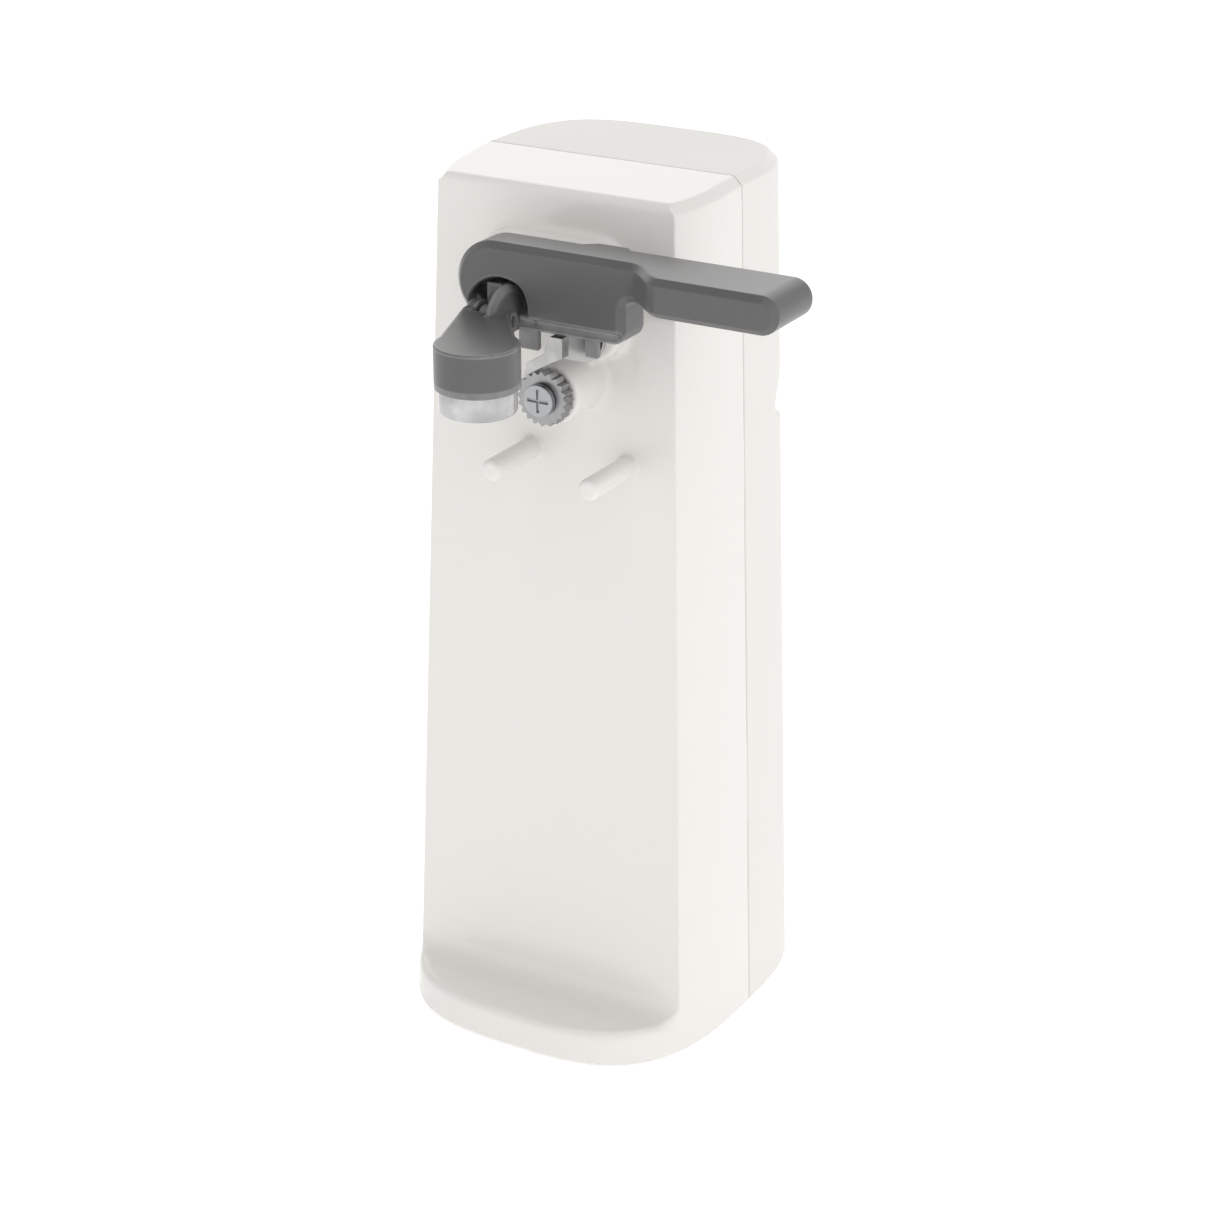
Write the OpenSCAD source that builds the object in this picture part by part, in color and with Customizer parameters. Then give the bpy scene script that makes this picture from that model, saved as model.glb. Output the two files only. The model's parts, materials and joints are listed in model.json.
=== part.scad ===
// Electric can opener: a tall two-piece plastic body on a rounded foot, with a
// swinging lever, a piercing blade, a toothed drive wheel and a magnet arm.
// X is to the right seen from the front, -Y is the front, Z = 0 is the table.

/* [Body] */
// Overall height
body_h = 259.3; // [258.8:0.1:260]
// Width of the body at the table
foot_w = 100.3; // [99.8:0.1:101]
// Distance from the widest section to the front of the foot
front_depth = 56.2; // [55.8:0.1:56.6]
// Distance from the widest section to the rear of the body
rear_depth = 52.8; // [52.4:0.1:53.2]
// Wall thickness of both shells
wall = 2.4; // [2.2:0.1:2.6]
// Height of the joint-free bottom edge above the table
bottom_gap = 1; // [0.8:0.1:1.2]
// Bevel round the top face
top_bevel = 2.4; // [2:0.1:2.6]

/* [Front panel] */
// Y of the panel where it would meet the table
panel_y0 = -30.7; // [-31:0.1:-30.4]
// Backward lean of the panel, in mm of Y for each mm of Z
panel_lean = 0.028; // [0.026:0.001:0.03]
// Height of the foot in front of the panel
foot_h = 11.4; // [11:0.1:12]
// Radius of the fillet between foot and panel
foot_fillet = 6; // [4:0.5:7]
// Diameter of the pegs that steady the can
peg_d = 6.3; // [5.8:0.1:6.6]

/* [Drive] */
// X of the drive wheel
drive_x = 9.2; // [9.1:0.1:9.3]
// Height of the drive wheel
drive_z = 205; // [204.9:0.1:205.1]
// Outer diameter of the drive wheel
wheel_d = 16; // [15.6:0.1:16.2]
// Diameter of the drive shaft
shaft_d = 8; // [7.8:0.1:8.2]
// Radial clearance of shafts in their bushes
run_gap = 0.04; // [0.02:0.01:0.08]

/* [Lever] */
// X of the lever's pivot
lever_x = -3.5; // [-3.6:0.1:-3.4]
// Height of the lever's pivot
lever_z = 236.8; // [236.7:0.1:236.9]
// Radius of the lever's round end
lever_r = 11.6; // [11.4:0.1:11.8]
// X of the far end of the handle
handle_end = 86.6; // [84:0.1:88]
// Height of the handle's section
handle_h = 10.6; // [10:0.1:11]

/* [Magnet] */
// X of the magnet
magnet_x = 10.5; // [10:0.1:11]
// Y of the magnet
magnet_y = -80; // [-81:0.1:-79]
// Diameter of the magnet's metal cup
magnet_d = 20.9; // [20:0.1:21.4]
// Height of the magnet's lower face
magnet_z = 212.1; // [212:0.1:212.6]

/* [Hidden] */
$fn = 48;

// Body section
outline_steps = 64;
body_y = 3.48;
side_taper = 0.0312;
front_taper = 0.061;
rear_taper = 0.0216;
front_power = 3;
rear_power = 3.5;
seam_y = 6.8;
seam_gap = 0.15;
top_drop = 0.066;
above = body_h + 10;

// Raised platform behind the lever
platform_x = 1.85;
platform_z = 228.75;
platform_w = 45.7;
platform_h = 33.5;
platform_r = 10;
platform_y = -30.5;
neck_r = 8.6;
neck_y = -40.9;

// Knife groove across the rear shell
groove_r = 3.6;
groove_y = 33.8;
groove_z = 186.4;
groove_skin = 2.2;
groove_low_slope = -15;
groove_high_slope = 43;
guide_y = [32.5, 46.5];

// Gear train: module, teeth and plane of each mesh
motor_x = 0;
motor_z = 170.5;
m_first = 0.8;
m_second = 1.0;
m_third = 1.25;
t_motor = 12;
t_first = 54;
t_first_pinion = 11;
t_second = 40;
t_second_pinion = 12;
t_drive = 36;
first_x = 17.23;
first_z = 150.5;
second_x = 17;
second_z = 176.03;
first_y = [-3, 1.5];
second_y = [-9.2, -3.8];
third_y = [-16, -9.8];
plate_front_y = -18.6;
plate_rear_y = 3;
plate_t = 1.5;
axle_r = 2.5;
motor_shaft_r = 2.5;

// Motor
stack_y = [8.2, 26.2];
stack_w = 56;
stack_top = 188;
stack_bottom = 133;
rotor_r = 13;
air_gap = 0.5;
bracket_y = 29.5;
coil_overhang = 3;
grind_y = [36, 42];
grind_r = 10.2;

// Lever and cutter
lever_front = -50.5;
handle_front = -59.6;
handle_back = -38.6;
head_back = -39.5;
head_bottom = 225.2;
head_right = 37;
skin = 2.6;
hinge_y = -50.5;
hinge_z = 227.4;
hinge_r = 1.5;
ear_r = 9.8;
spindle_r = 4;
spindle_rear = -6;
cam_r = 7.6;
cam_offset = 2.2;
cam_angle = 255;
switch_x = -19.7;
switch_y = [-14, -7.6];
switch_holes = [230.3, 243.3];
blade_y = -45.8;
blade_t = 1.8;
wedge_y = -47.2;
wedge_t = 2.2;

// Screw positions
base_points = [[-33, -20], [33, -20], [-33, 36], [33, 36]];
case_points = [[-27, 27], [27, 27], [-32.5, 241], [32.5, 241]];
chassis_points = [[-33, 138], [36, 194], [-33, 220], [32, 230]];
stack_points = [[-23, 157], [23, 157], [-23, 176], [23, 176]];

// Helpers -------------------------------------------------------------------

function power(v, p) = sign(v) * pow(abs(v), p);
function half_width(z) = foot_w / 2 - side_taper * z;
function depth(z, front) = front ? front_depth - front_taper * z : rear_depth - rear_taper * z;
function panel_y(z) = panel_y0 + panel_lean * z;

// Rounded plan outline of the body at height z
function outline(z, inset) = [
    for (i = [0:outline_steps - 1])
        let (
            t = 360 * i / outline_steps,
            front = sin(t) < 0,
            p = 2 / (front ? front_power : rear_power),
            w = half_width(z) - inset,
            d = depth(z, front) - inset
        )
        [w * power(cos(t), p), body_y + d * power(sin(t), p)]
];

// Points of an arc
function arc(cx, cy, r, from, to, steps) = [
    for (i = [0:steps]) let (a = from + (to - from) * i / steps) [cx + r * cos(a), cy + r * sin(a)]
];

// Solid through outlines given as [height, inset]
module loft(levels) {
    n = outline_steps;
    top = len(levels) - 1;
    points = [
        for (l = levels) for (p = outline(l[0], l[1])) [p[0], p[1], l[0]]
    ];
    sides = [
        for (k = [0:top - 1]) for (i = [0:n - 1]) for (half = [0:1])
            let (a = k * n + i, b = k * n + (i + 1) % n)
            half == 0 ? [a, a + n, b] : [b, a + n, b + n]
    ];
    polyhedron(
        points,
        concat([[for (i = [0:n - 1]) i]], sides, [[for (i = [n - 1:-1:0]) top * n + i]])
    );
}

// Extrude an XZ outline from y0 to y1
module along_y(y0, y1) {
    translate([0, y1, 0]) rotate([90, 0, 0]) linear_extrude(y1 - y0) children();
}

// Extrude a YZ outline from x0 to x1
module along_x(x0, x1) {
    translate([x0, 0, 0]) rotate([90, 0, 90]) linear_extrude(x1 - x0) children();
}

module disc_y(x, z, r, y0, y1) {
    along_y(y0, y1) translate([x, z]) circle(r);
}

module disc_x(y, z, r, x0, x1) {
    along_x(x0, x1) translate([y, z]) circle(r);
}

module ring_y(x, z, r, hole, y0, y1) {
    along_y(y0, y1) translate([x, z]) difference() { circle(r); circle(hole); }
}

module round_rect(w, h, r) {
    square([w - 2 * r, h], center = true);
    square([w, h - 2 * r], center = true);
    for (sx = [-1, 1]) for (sy = [-1, 1])
        translate([sx * (w / 2 - r), sy * (h / 2 - r)]) circle(r);
}

// Space in front of the panel and above the foot, drawn in by the amount given
module panel_space(inset) {
    r = foot_fillet;
    low = foot_h - inset;
    face = panel_y(low) + inset;
    along_x(-80, 80) polygon(concat(
        [[-120, low - 0.8]],
        arc(face - r, low + r, r, -90, 0, 6),
        [[panel_y(above) + inset, above], [-120, above]]
    ));
}

// Everything above the gently sloping front part of the top
module top_space(inset) {
    h = body_h - inset;
    along_x(-80, 80) polygon([
        [seam_y, h], [-60, h - top_drop * (seam_y + 60)], [-60, above], [seam_y, above]
    ]);
}

module body_outside() {
    difference() {
        loft([[bottom_gap, 0], [body_h - top_bevel, 0], [body_h, top_bevel]]);
        panel_space(0);
        top_space(0);
    }
}

module body_inside() {
    difference() {
        loft([[-1, wall], [body_h - wall - top_bevel, wall], [body_h - wall, wall + top_bevel]]);
        panel_space(wall);
        top_space(wall);
    }
}

// Straight-flanked gear outline, with a tooth centred on angle 0
function gear_outline(teeth, m) = [
    for (i = [0:teeth - 1]) for (c = [[-1, 0], [-1, 1], [1, 1], [1, 0]])
        let (
            pitch = 360 / teeth,
            r = m * teeth / 2 + (c[1] == 1 ? 0.92 : -1.2) * m,
            half = (c[1] == 1 ? 0.115 : (teeth < 20 ? 0.3 : 0.33)) * pitch,
            a = i * pitch + c[0] * half
        )
        [r * cos(a), r * sin(a)]
];

module gear(x, z, teeth, m, turn, span, hole) {
    along_y(span[0], span[1]) translate([x, z]) difference() {
        rotate(turn) polygon(gear_outline(teeth, m));
        circle(hole);
    }
}

function bearing(x0, z0, x1, z1) = atan2(z1 - z0, x1 - x0);
// Turn that puts a gap towards the driving gear
function gap_turn(teeth, x0, z0, x1, z1) = bearing(x0, z0, x1, z1) + 180 + 180 / teeth;

module pan_screw_z(x, y, z, length) {
    translate([x, y, z]) {
        difference() {
            cylinder(h = 2, r = 3);
            translate([-2.2, -0.4, -0.1]) cube([4.4, 0.8, 1.1]);
            translate([-0.4, -2.2, -0.1]) cube([0.8, 4.4, 1.1]);
        }
        translate([0, 0, 2]) cylinder(h = length, r = 1.45);
    }
}

// Screw along Y with its head at y and its thread towards +Y or -Y
module pan_screw_y(x, z, y, length, side, head_r = 2.8, shank_r = 1.4, head_h = 1.8) {
    translate([x, y, z]) rotate([side > 0 ? -90 : 90, 0, 0]) {
        difference() {
            cylinder(h = head_h, r = head_r);
            translate([-head_r * 0.7, -0.35, -0.1]) cube([head_r * 1.4, 0.7, 0.9]);
            translate([-0.35, -head_r * 0.7, -0.1]) cube([0.7, head_r * 1.4, 0.9]);
        }
        translate([0, 0, head_h]) cylinder(h = length, r = shank_r);
    }
}

// Body shells ---------------------------------------------------------------

module groove_outline(grow) {
    r = groove_r + grow;
    low = groove_low_slope;
    high = groove_high_slope;
    reach = 40;
    translate([groove_y, groove_z]) {
        circle(r);
        polygon([
            [0, 0],
            [r * sin(low), -r * cos(low)],
            [r * sin(low) + reach * cos(low), -r * cos(low) + reach * sin(low)],
            [reach, reach],
            [-r * sin(high) + reach * cos(high), r * cos(high) + reach * sin(high)],
            [-r * sin(high), r * cos(high)]
        ]);
    }
}

module platform_outline() {
    translate([platform_x, platform_z]) round_rect(platform_w, platform_h, platform_r);
}

// Post that a base screw bites into, with a rib to the side wall
module base_post(p, reach) {
    side = sign(p[0]);
    translate([p[0], p[1], 11.4]) cylinder(h = 12.6, r = 4);
    translate([side > 0 ? p[0] : -reach, p[1] - 1, 11.4]) cube([reach - abs(p[0]), 2, 12.6]);
}

module front_shell() {
    color("whitesmoke") difference() {
        union() {
            difference() {
                body_outside();
                body_inside();
                translate([-80, seam_y - seam_gap, -5]) cube([160, 80, above]);
            }
            along_y(platform_y, panel_y(drive_z) + wall) platform_outline();
            disc_y(drive_x, drive_z, neck_r, neck_y, panel_y(drive_z) + wall + 0.3);
            for (side = [-1, 1])
                disc_y(drive_x + side * 15.6, 182, peg_d / 2, -48.5, panel_y(182) + wall);
            for (p = chassis_points)
                disc_y(p[0], p[1], 3.6, panel_y(p[1]) + 1, plate_front_y);
            for (p = case_points)
                disc_y(p[0], p[1], 4, panel_y(p[1]) + 1, seam_y + 11.7);
            for (p = base_points) if (p[1] < seam_y) base_post(p, 47.8);
        }
        for (p = case_points) disc_y(p[0], p[1], 1.4, seam_y - 12, 60);
        for (p = base_points) translate([p[0], p[1], 0]) cylinder(h = 20, r = 1.45);
        disc_y(drive_x, drive_z, shaft_d / 2 + 2, neck_y - 1, 0);
        disc_y(lever_x, lever_z, spindle_r + 2, platform_y - 1, 0);
        for (p = chassis_points)
            disc_y(p[0], p[1], 1.4, plate_front_y - 5, plate_front_y + 1);
    }
}

module rear_shell() {
    color("gainsboro") difference() {
        union() {
            difference() {
                body_outside();
                body_inside();
            }
            intersection() {
                body_outside();
                along_x(-60, 60) difference() {
                    groove_outline(groove_skin);
                    groove_outline(0);
                }
            }
            for (p = case_points)
                intersection() {
                    body_outside();
                    disc_y(p[0], p[1], 6, seam_y + 12, 60);
                }
            for (p = base_points) if (p[1] > seam_y) base_post(p, 45.2);
        }
        for (p = base_points) translate([p[0], p[1], 0]) cylinder(h = 20, r = 1.45);
        along_x(-80, 80) groove_outline(0);
        translate([-80, -80, -5]) cube([160, 80 + seam_y + seam_gap, above]);
        for (p = case_points) {
            disc_y(p[0], p[1], 4, seam_y + 15, 60);
            disc_y(p[0], p[1], 1.7, 0, 60);
        }
        disc_y(0, 20, 6, 30, 60);
        translate([-13, guide_y[0] - 0.3, groove_z - 14])
            cube([26, guide_y[1] - guide_y[0] + 0.6, 14]);
    }
}

// Closes the body from below and holds the rubber ring
module base_plate() {
    levels = [[2.2, wall + 0.4], [4.6, wall + 0.4]];
    color("whitesmoke") difference() {
        union() {
            loft(levels);
            for (p = base_points) translate([p[0], p[1], 4]) cylinder(h = 7, r = 4);
        }
        translate([0, 0, 1]) linear_extrude(2.2) ring_outline(8, 15);
        for (p = base_points) translate([p[0], p[1], 0]) {
            cylinder(h = 6, r = 3.4);
            cylinder(h = 20, r = 1.7);
        }
        for (k = [-2:2]) translate([k * 7 - 1.5, -2, 0]) cube([3, 24, 8]);
    }
}

module ring_outline(outer, inner) {
    difference() {
        polygon(outline(0, outer));
        polygon(outline(0, inner));
    }
}

module foot_ring() {
    color("dimgray") linear_extrude(3.2) ring_outline(8.1, 14.9);
}

module base_screws() {
    color("silver") for (p = base_points) pan_screw_z(p[0], p[1], 4, 10);
}

module case_screws() {
    color("silver") for (p = case_points) pan_screw_y(p[0], p[1], seam_y + 16.8, 24, -1);
}

// Round moulded inlet for the supply lead, low on the rear
module cord_inlet() {
    rear = body_y + depth(20, false);
    color("gainsboro") difference() {
        union() {
            disc_y(0, 20, 5.95, rear - 6, rear + 0.2);
            disc_y(0, 20, 7.6, rear - 6, rear - wall - 0.4);
        }
        disc_y(0, 20, 3.4, rear - 8, rear + 2);
    }
}

module terminal_block() {
    color("ivory") difference() {
        translate([-14, 20, 4.7]) cube([28, 11, 14]);
        for (k = [-1, 1]) {
            translate([k * 7, 25.5, 10]) cylinder(h = 12, r = 2.4);
            disc_y(k * 7, 9, 1.6, 15, 40);
        }
    }
}

// Chassis -------------------------------------------------------------------

module chassis_outline() {
    polygon([
        [-38, 132], [26, 124], [39, 140], [39, 205], [37, 236], [-9, 236],
        [-9, 249], [-27.5, 249], [-27.5, 234], [-38, 226]
    ]);
}

module chassis_plate(y, motor_hole) {
    difference() {
        along_y(y, y + plate_t) chassis_outline();
        for (p = chassis_points) disc_y(p[0], p[1], 1.7, y - 1, y + 3);
        disc_y(drive_x, drive_z, shaft_d / 2 + 2, y - 1, y + 3);
        disc_y(motor_x, motor_z, motor_hole, y - 1, y + 3);
        disc_y(first_x, first_z, axle_r, y - 1, y + 3);
        disc_y(second_x, second_z, axle_r, y - 1, y + 3);
        disc_y(lever_x, lever_z, 12, y - 1, y + 3);
    }
}

module front_chassis_plate() {
    color("silver") difference() {
        chassis_plate(plate_front_y, 8);
        for (z = switch_holes) disc_y(switch_x, z, 1.25, plate_front_y - 1, plate_front_y + 3);
    }
}

module rear_chassis_plate() {
    color("silver") difference() {
        chassis_plate(plate_rear_y, 5);
        for (p = stack_points) disc_y(p[0], p[1], 2, plate_rear_y - 1, plate_rear_y + 3);
    }
}

module chassis_pillars() {
    color("silver") for (p = chassis_points)
        ring_y(p[0], p[1], 3.4, 1.7, plate_front_y + plate_t, plate_rear_y);
}

module chassis_screws() {
    color("lightgray") for (p = chassis_points)
        pan_screw_y(p[0], p[1], plate_rear_y + plate_t + 1.8, 26.5, -1);
}

// Motor ---------------------------------------------------------------------

module motor_laminations() {
    color("darkgray") difference() {
        along_y(stack_y[0], stack_y[1]) difference() {
            translate([-stack_w / 2, stack_bottom]) square([stack_w, stack_top - stack_bottom]);
            translate([-17, stack_bottom + 11]) square([34, 11]);
            translate([motor_x, motor_z]) circle(rotor_r + air_gap);
        }
        for (p = stack_points) disc_y(p[0], p[1], 2, 0, 40);
    }
}

module coil_bobbin() {
    color("ivory") difference() {
        union() {
            for (x = [-16.5, 14.9])
                translate([x, stack_y[0] - coil_overhang, stack_bottom - 4.5]) cube([1.6, 24, 26]);
            translate([-16, stack_y[0] - 1.2, stack_bottom - 1.2]) cube([32, 20.4, 13.4]);
        }
        translate([-20, stack_y[0], stack_bottom]) cube([40, 18, 11]);
        translate([-20, stack_y[0] - 0.1, stack_bottom + 10.9]) cube([40, 18.2, 20]);
        translate([-20, stack_y[0] - 10, stack_bottom + 20.4]) cube([40, 40, 10]);
    }
}

module coil_winding() {
    color("peru") difference() {
        translate([-14.7, stack_y[0] - 2.7, stack_bottom - 4]) cube([29.4, 23.4, 24]);
        translate([-20, stack_y[0] - 1.3, stack_bottom - 1.3]) cube([40, 20.6, 30]);
    }
    color("peru") translate([-14.7, stack_y[0] - 2, stack_bottom + 12.3]) cube([29.4, 22, 7.7]);
}

module rear_motor_bracket() {
    color("silver") difference() {
        union() {
            along_y(bracket_y, bracket_y + plate_t) {
                translate([-30, motor_z - 6]) square([60, 12]);
                for (x = [-27, 19]) translate([x, 153]) square([8, 24]);
            }
            for (p = stack_points) disc_y(p[0], p[1], 3.4, stack_y[1], bracket_y + 0.2);
        }
        for (p = stack_points) disc_y(p[0], p[1], 1.7, 20, 40);
        disc_y(motor_x, motor_z, 5, 20, 40);
    }
}

module bracket_screws() {
    color("lightgray") for (p = stack_points)
        pan_screw_y(p[0], p[1], bracket_y + plate_t + 1.8, 27.4, -1);
}

module motor_bushes() {
    hole = motor_shaft_r + run_gap;
    color("darkgoldenrod") {
        ring_y(motor_x, motor_z, 5, hole, plate_rear_y - 0.5, plate_rear_y + 4);
        ring_y(motor_x, motor_z, 5, hole, bracket_y - 2.6, bracket_y + plate_t + 0.5);
    }
}

module rotor() {
    color("silver") ring_y(motor_x, motor_z, rotor_r, motor_shaft_r, stack_y[0], stack_y[1]);
}

module motor_shaft() {
    color("lightsteelblue") disc_y(motor_x, motor_z, motor_shaft_r, first_y[0] - 0.4, grind_y[1] + 4);
}

module motor_pinion() {
    color("wheat") gear(motor_x, motor_z, t_motor, m_first,
        bearing(motor_x, motor_z, first_x, first_z), first_y, motor_shaft_r);
}

module sharpening_wheel() {
    color("darkgray") ring_y(motor_x, motor_z, grind_r, motor_shaft_r, grind_y[0], grind_y[1]);
}

module sharpening_wheel_nut() {
    color("silver") {
        ring_y(motor_x, motor_z, 6, motor_shaft_r, grind_y[0] - 1.6, grind_y[0]);
        along_y(grind_y[1], grind_y[1] + 3) translate([motor_x, motor_z]) difference() {
            circle(4.4, $fn = 6);
            circle(motor_shaft_r);
        }
    }
}

// Insert in the groove: a slit on each side of the wheel leads a knife's edge to it
module knife_guide() {
    half = 12.7;
    color("dimgray") difference() {
        translate([-half, guide_y[0], 177.2]) cube([2 * half, guide_y[1] - guide_y[0], 9]);
        along_x(-20, 20) groove_outline(0);
        translate([-9, grind_y[0] - 0.8, 170]) cube([18, grind_y[1] - grind_y[0] + 1.6, 20]);
        disc_y(motor_x, motor_z, grind_r + 0.6, grind_y[0] - 1, grind_y[1] + 1);
        for (y = grind_y) translate([-20, y - 0.8, 179]) cube([40, 1.6, 9]);
    }
}

// Gears ---------------------------------------------------------------------

module first_gear() {
    a = gap_turn(t_first, motor_x, motor_z, first_x, first_z);
    b = bearing(first_x, first_z, second_x, second_z);
    color("wheat") {
        gear(first_x, first_z, t_first, m_first, a, first_y, axle_r + run_gap);
        gear(first_x, first_z, t_first_pinion, m_second, b,
            [second_y[0], first_y[0]], axle_r + run_gap);
    }
}

module second_gear() {
    a = gap_turn(t_second, first_x, first_z, second_x, second_z);
    b = bearing(second_x, second_z, drive_x, drive_z);
    color("wheat") {
        gear(second_x, second_z, t_second, m_second, a, second_y, axle_r + run_gap);
        gear(second_x, second_z, t_second_pinion, m_third, b,
            [third_y[0], second_y[0]], axle_r + run_gap);
    }
}

module gear_axles() {
    color("lightsteelblue") {
        disc_y(first_x, first_z, axle_r, plate_front_y, plate_rear_y + plate_t);
        disc_y(second_x, second_z, axle_r, plate_front_y, plate_rear_y + plate_t);
    }
}

module drive_gear() {
    a = gap_turn(t_drive, second_x, second_z, drive_x, drive_z);
    color("silver") {
        gear(drive_x, drive_z, t_drive, m_third, a, third_y, shaft_d / 2);
        ring_y(drive_x, drive_z, 8, shaft_d / 2, third_y[1], third_y[1] + 4);
    }
}

module drive_shaft() {
    color("lightsteelblue") difference() {
        disc_y(drive_x, drive_z, shaft_d / 2, -46.2, plate_rear_y + plate_t + 2.4);
        disc_y(drive_x, drive_z, 2, -50, -38);
    }
}

module drive_bushes() {
    hole = shaft_d / 2 + run_gap;
    color("darkgoldenrod") {
        ring_y(drive_x, drive_z, shaft_d / 2 + 2, hole, neck_y, plate_front_y + plate_t);
        ring_y(drive_x, drive_z, shaft_d / 2 + 2, hole, plate_rear_y - 1, plate_rear_y + plate_t);
    }
}

// Hardened wheel whose teeth grip the underside of the rim
module drive_wheel() {
    teeth = 20;
    color("gray") difference() {
        along_y(-46, -41.8) translate([drive_x, drive_z]) polygon([
            for (i = [0:2 * teeth - 1])
                let (r = wheel_d / 2 - (i % 2 == 0 ? 0 : 1.1), a = i * 180 / teeth)
                [r * cos(a), r * sin(a)]
        ]);
        disc_y(drive_x, drive_z, shaft_d / 2, -50, -40);
    }
}

module drive_wheel_screw() {
    color("silver") pan_screw_y(drive_x, drive_z, -48.2, 7, 1, 4.6, 2, 2);
}

module drive_shaft_clip() {
    y = plate_rear_y + plate_t + 0.4;
    color("gray") along_y(y, y + 1) translate([drive_x, drive_z]) difference() {
        circle(shaft_d / 2 + 2.4);
        circle(shaft_d / 2);
        translate([-1.5, 0]) square([3, 8]);
    }
}

// Lever ---------------------------------------------------------------------

// Front view of the lever: round head, straight handle with a round end
module lever_outline() {
    top = lever_z + lever_r;
    r = handle_h / 2;
    under = top - handle_h;
    notch = 2.5;
    corner = 3.6;
    polygon(concat(
        arc(lever_x, lever_z, lever_r, 90, 270, 16),
        arc(head_right - 1.6 - corner, head_bottom + corner, corner, -90, -8, 5),
        arc(head_right + notch, under - notch, notch, 180, 90, 5),
        arc(handle_end - r, top - r, r, -90, 90, 10)
    ));
}

// Plan of the lever: the handle stands forward of the head
module lever_plan() {
    bend = [
        for (i = [0:8]) let (u = i / 8)
            [38 + 14 * u, lever_front + (handle_front - lever_front) * (1 - cos(180 * u)) / 2]
    ];
    linear_extrude(300) polygon(concat(
        [[-30, lever_front]],
        bend,
        [
            [100, handle_front], [100, handle_back], [33, handle_back],
            [31, -36.6], [22.5, -36.6], [18.5, head_back], [-30, head_back]
        ]
    ));
}

module lever_body() {
    barrel = [-6.2, -1.2];
    color("dimgray") difference() {
        union() {
            difference() {
                intersection() {
                    along_y(-70, -30) lever_outline();
                    lever_plan();
                }
                // hollow of the head, open below and at the back
                difference() {
                    along_y(lever_front + skin, -30) intersection() {
                        translate([lever_x, lever_z]) union() {
                            circle(lever_r - skin);
                            translate([0, -30]) square([36, 30 + lever_r - skin]);
                        }
                        translate([-40, 200]) square([74, 60]);
                    }
                    translate([-20, head_back - 2.8, 233.8]) cube([40, 5, 20]);
                }
                // round arch for the magnet arm
                disc_y(-0.6, 227.6, 10.8, -60, hinge_y + 4.9);
            }
            disc_y(lever_x, lever_z, 7.5, head_back - 0.8, platform_y - 0.5);
            disc_x(hinge_y, hinge_z, 3.4, barrel[0], barrel[1]);
            translate([barrel[0], hinge_y, hinge_z])
                cube([barrel[1] - barrel[0], 9.9, 9]);
            translate([4.4, -49.6, 219.8]) cube([6.1, 1.8, 9]);
            translate([25, -49.6, 220.5]) cube([4, 1.8, 8]);
            translate([13, -45.4, 226]) cube([20, 3, 18]);
        }
        disc_y(lever_x, lever_z, spindle_r, -40.4, -30);
        disc_x(hinge_y, hinge_z, hinge_r, -20, 20);
        for (x = [17.5, 27]) disc_y(x, 231, 1.4, -60 + 13, -40);
    }
}

module lever_spindle() {
    color("lightsteelblue") difference() {
        disc_y(lever_x, lever_z, spindle_r, -40.2, spindle_rear);
        disc_y(lever_x, lever_z, 1.6, spindle_rear - 8, spindle_rear + 1);
    }
}

module lever_bush() {
    color("darkgoldenrod")
        ring_y(lever_x, lever_z, spindle_r + 2, spindle_r + run_gap, platform_y, -17);
}

module spindle_screw() {
    color("silver") pan_screw_y(lever_x, lever_z, spindle_rear + 2, 7, -1, 4.6, 1.6, 2);
}

// Off-centre disc that presses the switch when the lever is down
module switch_cam() {
    color("ivory") difference() {
        disc_y(lever_x + cam_offset * cos(cam_angle), lever_z + cam_offset * sin(cam_angle),
            cam_r, -14, spindle_rear);
        disc_y(lever_x, lever_z, spindle_r, -20, 0);
    }
}

module cutter_blade() {
    color("silver") difference() {
        union() {
            along_y(blade_y - blade_t, blade_y) polygon(concat(
                [[14, 240], [14, 223], [14.5, 219.5], [17, 218.1]],
                arc(21.9, 226, 7.9, -85, 0, 6),
                [[29.8, 240]]
            ));
            along_y(wedge_y - wedge_t, wedge_y) polygon([
                [14, 224.6], [12, 219.2], [5.4, 215.4], [4.3, 210.8], [15, 217.3], [18, 218.6], [18, 224.6]
            ]);
        }
        for (x = [17.5, 27]) disc_y(x, 231, 1.7, -60, -40);
    }
}

module cutter_screws() {
    color("lightgray") for (x = [17.5, 27])
        pan_screw_y(x, 231, -40.5, 4.9, -1);
}

module hinge_pin() {
    color("silver") disc_x(hinge_y, hinge_z, hinge_r, -9.4, 2.4);
}

// Magnet arm ----------------------------------------------------------------

module magnet_arm() {
    low = magnet_z + 6.6;
    high = magnet_z + 18.6;
    color("dimgray") difference() {
        union() {
            difference() {
                translate([magnet_x, magnet_y, low]) cylinder(h = high - low, r = 11.45);
                translate([magnet_x, magnet_y, low - 1]) cylinder(h = 2.2, r = magnet_d / 2);
            }
            translate([0, 0, high - 3.2]) linear_extrude(3.2) polygon([
                [-0.6, -83], [-9.8, -55], [-9.8, -50.5], [-7, -50.5], [-7, -56.5],
                [-0.6, -56.5], [-0.6, -53], [3.2, -53], [4.6, -57], [21.5, -77]
            ]);
            for (span = [[-9.8, -6.6], [-0.8, 3.2]])
                disc_x(hinge_y, hinge_z, 4.4, span[0], span[1]);
            intersection() {
                disc_x(hinge_y, hinge_z, ear_r, -0.8, 3.2);
                translate([-5, -70, 224]) cube([10, 40, 30]);
            }
            translate([-9.8, -56, 225]) cube([3.2, 5.5, high - 225]);
        }
        disc_x(hinge_y, hinge_z, hinge_r + run_gap, -12, 12);
        translate([magnet_x, magnet_y, low - 2]) cylinder(h = 8.8, r = 1.6);
    }
}

module magnet_cup() {
    color("gainsboro") difference() {
        translate([magnet_x, magnet_y, magnet_z]) cylinder(h = 7.6, r = magnet_d / 2);
        translate([magnet_x, magnet_y, magnet_z + 1]) cylinder(h = 9, r = magnet_d / 2 - 1);
    }
}

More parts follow.
